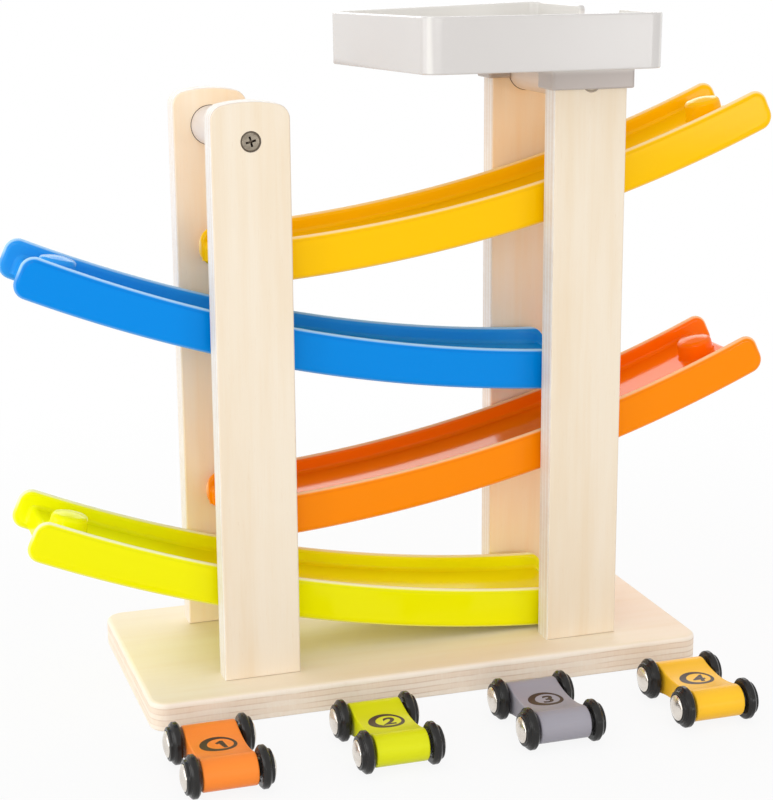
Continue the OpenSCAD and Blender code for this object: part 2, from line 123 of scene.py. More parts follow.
def track_z(level):
    """Height of a track's lowest point; the bottom track has level 0."""
    return BASE_T + TRACK_LIFT - arc_z(LOW_X, TRACK_R) + level * TRACK_PITCH


LEFT_DOWEL_Z = track_z(3) + arc_z(-POST_X, TRACK_R - TRACK_H) + LEFT_DOWEL_RISE
LEFT_TOP = LEFT_DOWEL_Z + LEFT_TOP_RISE
RIGHT_DOWEL_Z = track_z(3) + arc_z(POST_X, TRACK_R - TRACK_H) + RIGHT_DOWEL_RISE
RIGHT_TOP = RIGHT_DOWEL_Z + RIGHT_TOP_RISE
TRAY_FLOOR_Z = RIGHT_TOP + SEAT_GAP
TRAY_LOW = TRAY_FLOOR_Z - TRAY_SKIRT
TRAY_TOP = TRAY_FLOOR_Z + TRAY_FLOOR + TRAY_DEPTH
TRAY_X1 = POST_X + POST_W / 2 + TRAY_OVERHANG
TRAY_X0 = TRAY_X1 - TRAY_L
TRAY_X = (TRAY_X0 + TRAY_X1) / 2
ROW_Y = -(BASE_W / 2 + CAR_GAP + WHEEL_D / 2 + WHEELBASE / 2)


# Meshes

def arc(cx, cy, r, a0, a1, n):
    """Points on a circle from angle a0 to a1, in degrees."""
    steps = [radians(a0 + (a1 - a0) * i / n) for i in range(n + 1)]
    return [(cx + r * cos(a), cy + r * sin(a)) for a in steps]


def loft(rings, cap=True):
    """A bmesh skin through closed rings of points, in millimetres, capped at both ends."""
    bm = bmesh.new()
    rows = [[bm.verts.new([c * MM for c in p]) for p in ring] for ring in rings]
    for low, high in zip(rows, rows[1:]):
        for i in range(len(low)):
            j = (i + 1) % len(low)
            bm.faces.new((low[i], low[j], high[j], high[i]))
    if cap:
        bm.faces.new(list(reversed(rows[0])))
        bm.faces.new(rows[-1])
    bmesh.ops.recalc_face_normals(bm, faces=bm.faces)
    return bm


def circle_row(bm, r, z, n):
    """A ring of n new vertices about Z, or one on the axis where the radius is zero."""
    if r < 1e-6:
        return [bm.verts.new((0, 0, z * MM))]
    angles = [2 * pi * i / n for i in range(n)]
    return [bm.verts.new((r * cos(a) * MM, r * sin(a) * MM, z * MM)) for a in angles]


def revolve(profile, n=72, closed=False):
    """A skin of revolution about Z from (radius, height) points, or a closed one round a bore."""
    bm = bmesh.new()
    rows = [circle_row(bm, r, z, n) for r, z in profile]
    following = rows[1:] + rows[:1] if closed else rows[1:]
    for low, high in zip(rows, following):
        for i in range(n):
            j = (i + 1) % n
            loop = [low[i % len(low)], low[j % len(low)], high[j % len(high)], high[i % len(high)]]
            bm.faces.new(list(dict.fromkeys(loop)))
    bmesh.ops.recalc_face_normals(bm, faces=bm.faces)
    return bm


def edge_normals(outline):
    """Outward mitre directions of a counter-clockwise outline."""
    out = []
    for i, p in enumerate(outline):
        a, b = Vector(outline[i - 1]), Vector(outline[(i + 1) % len(outline)])
        d0, d1 = (Vector(p) - a).normalized(), (b - Vector(p)).normalized()
        n0, n1 = Vector((d0.y, -d0.x)), Vector((d1.y, -d1.x))
        mid = (n0 + n1).normalized()
        out.append(mid / max(0.5, mid.dot(n0)))
    return out


def plate(outline, t0, t1, r0, r1, place, steps=4):
    """A plate from depth t0 to t1 with rounded edges: a radius each, or how far in and how deep."""
    normals = edge_normals(outline)
    rings = []
    for edge, sign, r in ((t0, 1, r0), (t1, -1, r1)):
        across, down = r if isinstance(r, tuple) else (r, r)
        rows = []
        for k in range(steps + 1):
            a = pi / 2 * k / steps
            inset, depth = across * (1 - sin(a)), edge + sign * down * (1 - cos(a))
            moved = [(p[0] - n.x * inset, p[1] - n.y * inset) for p, n in zip(outline, normals)]
            rows.append([place(u, v, depth) for u, v in moved])
        rings += rows if sign > 0 else list(reversed(rows))
    return loft(rings)


def upright(x, z, y):
    """Stands a plate up, with its thickness along Y."""
    return (x, y, z)


def sideways(y, z, x):
    """Stands a plate up, with its thickness along X."""
    return (x, y, z)


def flat(x, y, z):
    """Lays a plate flat, with its thickness along Z."""
    return (x, y, z)


def rounded_rect(w, h, r, n=10, cx=0.0, cy=0.0):
    """A counter-clockwise rectangle with round corners."""
    x, y = w / 2 - r, h / 2 - r
    corners = [(x, y, 0), (-x, y, 90), (-x, -y, 180), (x, -y, 270)]
    out = []
    for px, py, a in corners:
        out += arc(cx + px, cy + py, r, a, a + 90, n)
    return out


def drill(r, low, high, n):
    """A plain round cutter about Z."""
    return revolve([(0, low), (r, low), (r, high), (0, high)], n)


def put(bm, matrix):
    """Moves a bmesh and returns it."""
    bmesh.ops.transform(bm, matrix=matrix, verts=bm.verts)
    return bm


def shift(x=0.0, y=0.0, z=0.0):
    """A move in millimetres."""
    return Matrix.Translation((x * MM, y * MM, z * MM))


def turn(angle, axis):
    """A turn about one of the axes, in degrees."""
    return Matrix.Rotation(radians(angle), 4, axis)


def new_object(name, data):
    """A new object in the scene."""
    obj = bpy.data.objects.new(name, data)
    bpy.context.scene.collection.objects.link(obj)
    return obj


def mesh_object(name, bm):
    """A new object from a bmesh, which it frees."""
    mesh = bpy.data.meshes.new(name)
    bm.to_mesh(mesh)
    bm.free()
    return new_object(name, mesh)


def evaluated_mesh(obj):
    """A new mesh of an object as its modifiers or its text leave it."""
    bpy.context.view_layer.update()
    return bpy.data.meshes.new_from_object(obj.evaluated_get(bpy.context.evaluated_depsgraph_get()))


def gather(meshes):
    """One bmesh of several meshes, which it removes."""
    bm = bmesh.new()
    for mesh in meshes:
        bm.from_mesh(mesh)
        bpy.data.meshes.remove(mesh)
    return bm


def carve(obj, tool_bm, operation="DIFFERENCE"):
    """Joins a tool shape to an object or cuts it away, for good."""
    tool = mesh_object("tool", tool_bm)
    cut = obj.modifiers.new("cut", "BOOLEAN")
    cut.operation, cut.solver, cut.object = operation, "EXACT", tool
    done = evaluated_mesh(obj)
    obj.modifiers.remove(cut)
    old, obj.data = obj.data, done
    done.name = obj.name
    bpy.data.meshes.remove(old)
    bpy.data.meshes.remove(tool.data)


def dress(obj, material, body, nodes=(), crease=38, weighted=True):
    """Gives a finished piece its shading, material and body, and lets it stand for its solids."""
    mesh = obj.data
    mesh.materials.clear()
    mesh.materials.append(material)
    for p in mesh.polygons:
        p.use_smooth = True
        p.material_index = 0
    mesh.set_sharp_from_angle(angle=radians(crease))
    if weighted:
        normals = obj.modifiers.new("flat faces", "WEIGHTED_NORMAL")
        normals.keep_sharp = True
    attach(obj, body)
    if nodes:
        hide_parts(*nodes)


# Materials

def srgb(r, g, b):
    """A colour written as it looks on screen, in 0 to 255."""
    lin = [(c / 255 / 12.92) if c <= 10 else ((c / 255 + 0.055) / 1.055) ** 2.4 for c in (r, g, b)]
    return (*lin, 1.0)


def feed(node, inputs):
    """Gives inputs of a node a value or another node's output."""
    for key, value in inputs.items():
        if isinstance(value, bpy.types.NodeSocket):
            node.id_data.links.new(value, node.inputs[key])
        else:
            node.inputs[key].default_value = value


def add(tree, kind, inputs, **settings):
    """A new node with its settings and inputs."""
    node = tree.nodes.new(kind)
    for key, value in settings.items():
        setattr(node, key, value)
    feed(node, inputs)
    return node


def calc(tree, operation, a, b=None, c=None, clamp=False):
    """The output of a math node."""
    inputs = {i: v for i, v in enumerate((a, b, c)) if v is not None}
    return add(tree, "ShaderNodeMath", inputs, operation=operation, use_clamp=clamp).outputs[0]


def product(tree, *factors):
    result = factors[0]
    for factor in factors[1:]:
        result = calc(tree, "MULTIPLY", result, factor)
    return result


def one_minus(tree, value):
    return calc(tree, "SUBTRACT", 1.0, value)


def blend(tree, factor, a, b, mode="MIX"):
    """Colour a turning into colour b by the factor."""
    inputs = {0: factor, 6: a, 7: b}
    return add(tree, "ShaderNodeMix", inputs, data_type="RGBA", blend_type=mode).outputs[2]


def ramp(tree, value, low, high):
    """Maps low..high to 0..1 with soft ends."""
    ends = {0: value, 1: low, 2: high}
    return add(tree, "ShaderNodeMapRange", ends, interpolation_type="SMOOTHSTEP").outputs[0]


def noise(tree, vector, scale=1.0, detail=3.0, rough=0.55, stretch=None):
    """Smooth noise, with its own scale along each axis where stretch is given."""
    if stretch:
        vector = add(tree, "ShaderNodeMapping", {"Vector": vector, "Scale": stretch}).outputs[0]
    inputs = {"Vector": vector, "Scale": scale, "Detail": detail, "Roughness": rough}
    return add(tree, "ShaderNodeTexNoise", inputs).outputs[0]


def axes(tree, vector):
    """The X, Y and Z outputs of a vector."""
    return add(tree, "ShaderNodeSeparateXYZ", {0: vector}).outputs


def group(name, inputs, outputs):
    """An empty node group: its tree and the sockets of its inputs and outputs."""
    tree = bpy.data.node_groups.new(name, "ShaderNodeTree")
    kinds = {"v": "NodeSocketVector", "f": "NodeSocketFloat", "c": "NodeSocketColor"}
    for label, kind, value in inputs:
        socket = tree.interface.new_socket(label, in_out="INPUT", socket_type=kinds[kind])
        if value is not None:
            socket.default_value = value
    for label, kind in outputs:
        tree.interface.new_socket(label, in_out="OUTPUT", socket_type=kinds[kind])
    return tree, tree.nodes.new("NodeGroupInput").outputs, tree.nodes.new("NodeGroupOutput").inputs


def birch_grain_group():
    """Rotary-cut birch: long pale figure, fine fibres and short pores, with the fibres along Z."""
    tree, inp, out = group(
        "Birch grain",
        [("Vector", "v", None), ("Pale", "c", srgb(244, 230, 208)), ("Warm", "c", srgb(233, 208, 172)),
         ("Pore", "c", srgb(205, 168, 124)), ("Figure", "f", 1.0)],
        [("Color", "c"), ("Height", "f")])
    v = inp["Vector"]
    figure = noise(tree, v, detail=4, rough=0.6, stretch=(46, 46, 5.5))
    bands = noise(tree, v, detail=3, rough=0.6, stretch=(210, 210, 9))
    fibres = noise(tree, v, detail=4, rough=0.7, stretch=(1500, 1500, 45))
    pores = noise(tree, v, detail=2, rough=0.5, stretch=(2300, 2300, 190))
    soft_bands = product(tree, ramp(tree, bands, 0.4, 0.75), 0.55)
    broad = calc(tree, "ADD", ramp(tree, figure, 0.36, 0.68), soft_bands)
    tone = calc(tree, "MULTIPLY", product(tree, broad, 0.6), inp["Figure"], clamp=True)
    base = blend(tree, tone, inp["Pale"], inp["Warm"])
    fibre_tone = product(tree, ramp(tree, fibres, 0.45, 0.8), 0.28)
    base = blend(tree, fibre_tone, base, inp["Warm"])
    speck = product(tree, ramp(tree, pores, 0.66, 0.8), 0.14)
    tree.links.new(blend(tree, speck, base, inp["Pore"]), out["Color"])
    height = calc(tree, "SUBTRACT", fibres, product(tree, speck, 0.8))
    tree.links.new(height, out["Height"])
    return tree


def ply_edge_group():
    """Veneers on a cut edge: thin glue lines between long and end grain."""
    tree, inp, out = group(
        "Ply edge",
        [("Depth", "f", 0.0), ("Ply", "f", POST_PLY_T * MM), ("Vector", "v", None),
         ("Light", "c", srgb(249, 243, 236)), ("Dark", "c", srgb(234, 214, 196)),
         ("Glue", "c", srgb(206, 172, 144))],
        [("Color", "c"), ("Height", "f")])
    v = inp["Vector"]
    wander = product(tree, calc(tree, "SUBTRACT", noise(tree, v, 26, 2), 0.5), 0.5)
    step = calc(tree, "ADD", calc(tree, "DIVIDE", inp["Depth"], inp["Ply"]), wander)
    layer = calc(tree, "FLOOR", step)
    place = calc(tree, "FRACT", step)
    odd = product(tree, calc(tree, "FRACT", product(tree, layer, 0.5)), 2.0)
    tone = add(tree, "ShaderNodeTexWhiteNoise", {"W": layer}, noise_dimensions="1D").outputs[0]
    streak = noise(tree, v, detail=4, rough=0.7, stretch=(220, 220, 900))
    mixed = calc(tree, "ADD", product(tree, odd, 0.5), product(tree, tone, 0.3))
    streak_tone = product(tree, calc(tree, "SUBTRACT", streak, 0.5), 0.9)
    mixed = calc(tree, "ADD", mixed, streak_tone, clamp=True)
    wood = blend(tree, mixed, inp["Light"], inp["Dark"])
    near = calc(tree, "MINIMUM", place, one_minus(tree, place))
    line = one_minus(tree, ramp(tree, near, 0.03, 0.16))
    broken = product(tree, line, ramp(tree, noise(tree, v, 60, 3), 0.34, 0.62), 0.5)
    tree.links.new(blend(tree, broken, wood, inp["Glue"]), out["Color"])
    tree.links.new(calc(tree, "SUBTRACT", streak, line), out["Height"])
    return tree


def moulded_skin_group():
    """Moulded plastic: a faint orange peel, slow thickness tone and hair scuffs."""
    tree, inp, out = group(
        "Moulded skin",
        [("Vector", "v", None), ("Shade", "c", (0.5, 0.5, 0.5, 1)), ("Deep", "c", (0.4, 0.4, 0.4, 1)),
         ("Gloss", "f", 0.15), ("Scuff", "f", 0.1)],
        [("Color", "c"), ("Roughness", "f"), ("Height", "f")])
    v = inp["Vector"]
    slow = noise(tree, v, 18, 2)
    peel = noise(tree, v, 420, 2, 0.4)
    hair = ramp(tree, noise(tree, v, detail=3, rough=0.6, stretch=(90, 1400, 700)), 0.6, 0.78)
    tone = product(tree, ramp(tree, slow, 0.3, 0.75), 0.35)
    tree.links.new(blend(tree, tone, inp["Shade"], inp["Deep"]), out["Color"])
    scuff = product(tree, hair, inp["Scuff"])
    tree.links.new(calc(tree, "ADD", inp["Gloss"], scuff), out["Roughness"])
    tree.links.new(peel, out["Height"])
    return tree


def plated_group():
    """Turned or plated metal: fine scratches round and along, with a dull bloom."""
    tree, inp, out = group(
        "Plated metal",
        [("Vector", "v", None), ("Bright", "c", (0.8, 0.8, 0.8, 1)), ("Dull", "c", (0.5, 0.5, 0.5, 1))],
        [("Color", "c"), ("Roughness", "f"), ("Height", "f")])
    v = inp["Vector"]
    bloom = noise(tree, v, 240, 3)
    scratch = noise(tree, v, detail=3, rough=0.7, stretch=(3500, 600, 600))
    tone = ramp(tree, bloom, 0.35, 0.75)
    tree.links.new(blend(tree, tone, inp["Bright"], inp["Dull"]), out["Color"])
    tree.links.new(calc(tree, "ADD", 0.2, product(tree, tone, 0.1)), out["Roughness"])
    tree.links.new(scratch, out["Height"])
    return tree


def track_place_group():
    """Masks along a track for painted light: the rims of its walls for a painted highlight, a line below them
    for painted shade, and the channel for its painted light and shade.
    """
    tree, inp, out = group(
        "Track place",
        [("Vector", "v", None), ("Lift", "f", 0.0), ("Side", "f", 1.0)],
        [("Rim highlight", "f"), ("Inside", "f"), ("Seam", "f")])
    x, y, z = axes(tree, inp["Vector"])
    ahead = calc(tree, "SUBTRACT", product(tree, x, inp["Side"]), ARC_X * MM)
    below = calc(tree, "SUBTRACT", TRACK_R * MM, calc(tree, "SUBTRACT", z, inp["Lift"]))
    wide = calc(tree, "ABSOLUTE", y)
    squares = [calc(tree, "POWER", leg, 2.0) for leg in (ahead, below)]
    radius = calc(tree, "SQRT", calc(tree, "ADD", *squares))
    rise = calc(tree, "SUBTRACT", TRACK_R * MM, radius)
    run = product(tree, calc(tree, "ARCTAN2", ahead, below), TRACK_R * MM)
    past = []
    for value, low, high in ((run, LOW_A * TRACK_R, END_A * TRACK_R), (rise, 0.0, TRACK_H)):
        off = calc(tree, "ABSOLUTE", calc(tree, "SUBTRACT", value, (low + high) / 2 * MM))
        past.append(calc(tree, "SUBTRACT", off, ((high - low) / 2 - TRACK_CORNER) * MM))
    round_part = [calc(tree, "POWER", calc(tree, "MAXIMUM", p, 0.0), 2.0) for p in past]
    corner = calc(tree, "SQRT", calc(tree, "ADD", *round_part))
    straight = calc(tree, "MINIMUM", calc(tree, "MAXIMUM", *past), 0.0)
    depth = calc(tree, "SUBTRACT", TRACK_CORNER * MM, calc(tree, "ADD", corner, straight))
    # Painted highlight: the rounded rims of the walls, full on the upper edges and weaker on the lower ones
    edge = one_minus(tree, ramp(tree, depth, 0.4 * MM, 1.2 * MM))
    upper = ramp(tree, rise, 6 * MM, 12 * MM)
    rim = product(tree, edge, calc(tree, "MULTIPLY_ADD", upper, 0.7, 0.3), ramp(tree, wide, 21 * MM, 23 * MM))
    tree.links.new(rim, out["Rim highlight"])
    # The channel, whose own colour is painted light and shade
    channel = one_minus(tree, ramp(tree, wide, 24.3 * MM, 25.3 * MM))
    past_low_end = ramp(tree, run, (LOW_A * TRACK_R + 4) * MM, (LOW_A * TRACK_R + 14) * MM)
    tree.links.new(product(tree, channel, past_low_end), out["Inside"])
    # Painted shade: a darker line just below the rim, on the outer faces of the upper wall
    line_top = ramp(tree, depth, 1.2 * MM, 1.6 * MM)
    line = calc(tree, "SUBTRACT", line_top, ramp(tree, depth, 1.9 * MM, 2.5 * MM))
    outer_face = ramp(tree, wide, 25.5 * MM, 26.2 * MM)
    tree.links.new(product(tree, line, upper, outer_face), out["Seam"])
    return tree


GRAIN, PLY, SKIN, PLATED = birch_grain_group(), ply_edge_group(), moulded_skin_group(), plated_group()
TRACK_PLACE = track_place_group()


def use(tree, node_group, **inputs):
    """The outputs of a shared node group."""
    return add(tree, "ShaderNodeGroup", inputs, node_tree=node_group).outputs


def new_material(name):
    """A material, its node tree and its shader."""
    mat = bpy.data.materials.new(name)
    mat.use_nodes = True
    tree = mat.node_tree
    return mat, tree, tree.nodes["Principled BSDF"]


def parts_of(mat):
    """A finished material's node tree, its shader and the colour that feeds the shader."""
    shader = mat.node_tree.nodes["Principled BSDF"]
    return mat.node_tree, shader, shader.inputs["Base Color"].links[0].from_socket


def object_spot(tree):
    """The point on the object, in the object's own frame."""
    return add(tree, "ShaderNodeTexCoord", {}).outputs["Object"]


def grain_along(tree, spot, rotation):
    """The point turned so that the wood's fibres run along Z."""
    return add(tree, "ShaderNodeMapping", {"Vector": spot, "Rotation": rotation}).outputs[0]


def bump(tree, shader, height, strength, distance):
    """Gives a shader a fine relief; the distance is in millimetres."""
    node = add(tree, "ShaderNodeBump", {"Height": height, "Strength": strength, "Distance": distance * MM})
    feed(shader, {"Normal": node.outputs[0]})


def plywood(name, ply_axis, ply, grain_turn, pale, warm, light, dark):
    """Birch plywood: face grain on the broad sides and a veneer stack on every cut edge."""
    mat, tree, shader = new_material(name)
    where = add(tree, "ShaderNodeTexCoord", {})
    spot = where.outputs["Object"]
    along = grain_along(tree, spot, grain_turn)
    face = use(tree, GRAIN, Vector=along, Pale=pale, Warm=warm)
    depth = axes(tree, spot)[ply_axis]
    edge = use(tree, PLY, Depth=depth, Ply=ply * MM, Vector=along, Light=light, Dark=dark)
    facing = axes(tree, where.outputs["Normal"])[ply_axis]
    broad = ramp(tree, calc(tree, "ABSOLUTE", facing), 0.62, 0.86)
    colour = blend(tree, broad, edge["Color"], face["Color"])
    fine = add(tree, "ShaderNodeMix", {0: broad, 2: edge["Height"], 3: face["Height"]}).outputs[0]
    bump(tree, shader, fine, 0.22, 0.12)
    rough = calc(tree, "ADD", 0.46, product(tree, fine, 0.14))
    feed(shader, {"Base Color": colour, "Roughness": rough, "Specular IOR Level": 0.3})
    return mat


def dowel_wood(name, pale, warm, dark):
    """Turned birch with a dark line where the rod meets a post: a painted shadow of the gap there."""
    mat, tree, shader = new_material(name)
    spot = object_spot(tree)
    along = grain_along(tree, spot, (pi / 2, 0, 0))
    face = use(tree, GRAIN, Vector=along, Pale=pale, Warm=warm, Figure=0.7)
    reach = calc(tree, "ABSOLUTE", axes(tree, spot)[1])
    # Painted shadow of the gap where the rod meets a post, over the bead and the last part of the rod
    gap_shade = ramp(tree, reach, (POST_IN - JOINT_LINE - JOINT_FADE) * MM, (POST_IN - JOINT_LINE) * MM)
    feed(shader, {"Base Color": blend(tree, gap_shade, face["Color"], dark), "Roughness": 0.5})
    bump(tree, shader, face["Height"], 0.2, 0.1)
    return mat


def gloss_plastic(name, shade, deep, gloss=0.1, scuff=0.03, level=0.1):
    """Moulded plastic; level is the strength of its mirror shine."""
    mat, tree, shader = new_material(name)
    spot = object_spot(tree)
    skin = use(tree, SKIN, Vector=spot, Shade=shade, Deep=deep, Gloss=gloss, Scuff=scuff)
    feed(shader, {"Base Color": skin["Color"], "Roughness": skin["Roughness"], "Specular IOR Level": level})
    bump(tree, shader, skin["Height"], 0.02, 0.1)
    return mat


def track_plastic(level, name, shade, inside, rim, painted_edge_shade):
    """Gloss plastic with painted light: its own colour inside the channel for the channel's light and shade,
    a paler painted highlight along the rounded rims and a painted shade line below them.
    """
    mat = gloss_plastic(name, shade, shade)
    tree, shader, outer = parts_of(mat)
    side = -1.0 if level % 2 == 0 else 1.0
    place = use(tree, TRACK_PLACE, Vector=object_spot(tree), Lift=track_z(level) * MM, Side=side)
    # Painted light and shade: the channel's colour stands in for the light and shade in it
    colour = blend(tree, place["Inside"], outer, inside)
    # Painted shade: a darker line below the rim
    colour = blend(tree, product(tree, place["Seam"], EDGE_SHADE_STRENGTH), colour, painted_edge_shade)
    # Painted highlight: paler rims
    feed(shader, {"Base Color": blend(tree, place["Rim highlight"], colour, rim)})
    return mat


def tray_plastic(name, shade, deep, inside, sockets):
    """Satin plastic of the tray, paler inside the pan as painted light and deeper on the post sockets under
    it as painted shade.
    """
    mat = gloss_plastic(name, shade, deep, 0.18, 0.06, 0.4)
    tree, shader, pan = parts_of(mat)
    where = add(tree, "ShaderNodeTexCoord", {})
    x, y, z = axes(tree, where.outputs["Object"])
    off_middle = calc(tree, "SUBTRACT", x, TRAY_X * MM)
    within = ramp(tree, axes(tree, where.outputs["Normal"])[2], -0.5, -0.3)
    for reach, half in ((off_middle, TRAY_L / 2), (y, TRAY_W / 2)):
        clear = calc(tree, "SUBTRACT", half * MM, calc(tree, "ABSOLUTE", reach))
        past_wall = ramp(tree, clear, 0.4 * TRAY_WALL * MM, 0.8 * TRAY_WALL * MM)
        within = product(tree, within, past_wall)
    # Painted light: paler inside the pan
    colour = blend(tree, within, pan, inside)
    # Painted shade: deeper on the sockets under the tray
    under = ramp(tree, z, TRAY_LOW * MM, (TRAY_LOW - DROOP_LOW) * MM)
    feed(shader, {"Base Color": blend(tree, under, colour, sockets)})
    return mat


def painted_wood(name, shade, deep):
    """Satin paint on turned wood: the grain shows faintly through the coat."""
    mat, tree, shader = new_material(name)
    spot = object_spot(tree)
    skin = use(tree, SKIN, Vector=spot, Shade=shade, Deep=deep, Gloss=0.36, Scuff=0.12)
    along = grain_along(tree, spot, (0, pi / 2, 0))
    tones = {"Pale": (1, 1, 1, 1), "Warm": (0.86, 0.84, 0.82, 1), "Pore": (0.7, 0.68, 0.66, 1)}
    wood = use(tree, GRAIN, Vector=along, **tones)
    colour = blend(tree, 0.55, skin["Color"], wood["Color"], "MULTIPLY")
    feed(shader, {"Base Color": colour, "Roughness": skin["Roughness"], "Specular IOR Level": 0.25})
    bump(tree, shader, wood["Height"], 0.16, 0.12)
    return mat


def plated_metal(name, bright, dull):
    """Plated steel with fine scratches."""
    mat, tree, shader = new_material(name)
    skin = use(tree, PLATED, Vector=object_spot(tree), Bright=bright, Dull=dull)
    feed(shader, {"Base Color": skin["Color"], "Roughness": skin["Roughness"], "Metallic": 1.0})
    bump(tree, shader, skin["Height"], 0.08, 0.05)
    return mat


def recessed_zinc(name, bright, dull, dark):
    """Plated screw that is dark in its cross and round its head, below the flat: painted shade in the
    recesses.
    """
    mat = plated_metal(name, bright, dull)
    tree, shader, plating = parts_of(mat)
    # Painted shade: dark in the cross and round the head, below the flat
    reach = calc(tree, "ABSOLUTE", axes(tree, object_spot(tree))[1])
    deep = ramp(tree, reach, (POST_OUT - SCREW_SEAT / 2) * MM, (POST_OUT - SCREW_SEAT) * MM)
    feed(shader, {"Base Color": blend(tree, deep, plating, dark)})
    return mat


POST_PLY = plywood(
    "birch_post", 1, POST_PLY_T, (0, 0, 0), srgb(241, 228, 208), srgb(235, 215, 185),
    srgb(241, 237, 231), srgb(229, 217, 203))
# Back posts: the same birch, painted warmer and deeper as the shade they stand in behind the tracks
SHADED_BACK_PLY = plywood(
    "birch_back_post_shaded", 1, POST_PLY_T, (0, 0, 0), srgb(252, 233, 206), srgb(250, 221, 181),
    srgb(248, 242, 235), srgb(236, 221, 205))
BASE_PLY = plywood(
    "birch_base", 2, BASE_PLY_T, (0, pi / 2, 0), srgb(247, 235, 213), srgb(243, 227, 199),
    srgb(250, 238, 222), srgb(240, 219, 196))
# The dowel's last colour is the painted shadow where a rod meets a post
DOWEL_WOOD = dowel_wood("dowel_birch", srgb(230, 220, 212), srgb(218, 200, 184), srgb(74, 54, 40))
ZINC = plated_metal("zinc_screw", srgb(176, 165, 148), srgb(134, 123, 108))
DOWEL_SCREW = recessed_zinc("zinc_cross_screw", srgb(168, 157, 141), srgb(126, 116, 103), srgb(104, 94, 82))
NICKEL = plated_metal("nickel_cap", srgb(228, 221, 212), srgb(214, 206, 197))

# Tracks from the bottom up: outer face, channel (painted light and shade), rim (painted highlight) and the
# line below the rim (painted shade)
TRACKS = [
    ("lime", srgb(241, 238, 4), srgb(245, 246, 8), srgb(248, 247, 190), srgb(214, 216, 20)),
    ("orange", srgb(255, 141, 2), srgb(255, 116, 4), srgb(255, 198, 146), srgb(226, 106, 8)),
    ("blue", srgb(0, 137, 227), srgb(42, 153, 234), srgb(168, 212, 248), srgb(0, 104, 196)),
    ("yellow", srgb(255, 199, 0), srgb(255, 194, 4), srgb(255, 222, 160), srgb(228, 168, 12)),
]
TRACK_PLASTICS = [
    track_plastic(level, name + "_gloss", *shades) for level, (name, *shades) in enumerate(TRACKS)]
# Tray colours: the front, its slow tone, a paler painted light inside the pan and a darker painted shade on
# the sockets under the tray
TRAY_PLASTIC = tray_plastic(
    "tray_grey", srgb(210, 206, 203), srgb(206, 202, 199), srgb(230, 227, 222), srgb(184, 174, 168))
CAR_PAINTS = [
    painted_wood("orange_paint", srgb(255, 142, 50), srgb(253, 132, 42)),
    painted_wood("lime_paint", srgb(222, 225, 6), srgb(214, 218, 0)),
    painted_wood("grey_paint", srgb(163, 160, 169), srgb(155, 152, 162)),
    painted_wood("amber_paint", srgb(255, 198, 42), srgb(253, 190, 32)),
]
TYRE_BLACK = gloss_plastic("tyre_black", srgb(40, 39, 38), srgb(31, 30, 30), 0.2, 0.08, 0.22)
PRINT_INK = gloss_plastic("print_ink", srgb(62, 44, 30), srgb(52, 38, 28), 0.4, 0.15, 0.3)


# Tower

def make_base():
    """The base board with two screw holes under each post."""
    outline = rounded_rect(BASE_L, BASE_W, BASE_CORNER)
    base = mesh_object("base", plate(outline, 0, BASE_T, BASE_FOOT_EDGE, BASE_EDGE, flat, 6))
    for side in (-1, 1):
        for front in (-1, 1):
            for k in (-1, 1):
                hole = drill(SCREW_HEAD_D / 2 + BASE_HOLE_GAP, -1, BASE_HOLE_DEPTH, 40)
                place = shift(side * POST_X + k * SCREW_PITCH / 2, front * POST_Y)
                carve(base, put(hole, place))
    dress(base, BASE_PLY, "tower", ["base_board"])


def crowned_outline(x, top):
    """A left post from the front: square foot, round top corners and a crowned top."""
    half = POST_W / 2
    crown_r = half ** 2 / (2 * POST_CROWN) + POST_CROWN / 2
    cx = half - POST_CORNER
    crown_z = top - crown_r
    cz = crown_z + sqrt((crown_r - POST_CORNER) ** 2 - cx ** 2)
    lean = degrees(atan2(cz - crown_z, cx))
    pts = [(x - half, BASE_T), (x + half, BASE_T)]
    pts += arc(x + cx, cz, POST_CORNER, 0, lean, 10)
    pts += arc(x, crown_z, crown_r, lean, 180 - lean, 24)[1:-1]
    pts += arc(x - cx, cz, POST_CORNER, 180 - lean, 180, 10)
    return pts


def square_outline(x, top):
    """A right post from the front: square at both ends."""
    half = POST_W / 2
    return [(x - half, BASE_T), (x + half, BASE_T), (x + half, top), (x - half, top)]


def make_posts():
    """The four posts, each with a sunk hole for its dowel screw."""
    for side, side_name in ((-1, "left"), (1, "right")):
        for front, front_name in ((-1, "front"), (1, "back")):
            x, y = side * POST_X, front * POST_Y
            outline = crowned_outline(x, LEFT_TOP) if side < 0 else square_outline(x, RIGHT_TOP)
            body = plate(outline, y - POST_T / 2, y + POST_T / 2, POST_EDGE, POST_EDGE, upright)
            name = "%s_%s" % (side_name, front_name)
            post = mesh_object(name + "_board", body)
            z = LEFT_DOWEL_Z if side < 0 else RIGHT_DOWEL_Z
            hole = drill(SCREW_HEAD_D / 2 + POST_HOLE_GAP, -1, POST_HOLE_DEPTH, 48)
            carve(post, put(hole, shift(x, front * POST_OUT, z) @ turn(front * 90, "X")))
            # The back posts take the birch with painted shade
            wood = POST_PLY if front < 0 else SHADED_BACK_PLY
            dress(post, wood, "tower", [name + "_post"])


def make_dowels():
    """The two cross rods, with a fine bead where they meet the posts, which their material paints dark as the
    shadow of the gap.
    """
    for x, z, name in ((-POST_X, LEFT_DOWEL_Z, "left"), (POST_X, RIGHT_DOWEL_Z, "right")):
        r, half = DOWEL_D / 2, POST_IN
        ends = [(r + JOINT_BEAD, half), (r + JOINT_BEAD, half - JOINT_LINE * 0.6), (r, half - JOINT_LINE)]
        profile = [(0, -half)] + [(d, -y) for d, y in ends] + list(reversed(ends)) + [(0, half)]
        rod = mesh_object(name + "_rod", put(revolve(profile, 80), shift(x, 0, z) @ turn(90, "X")))
        dress(rod, DOWEL_WOOD, "tower", [name + "_dowel"])


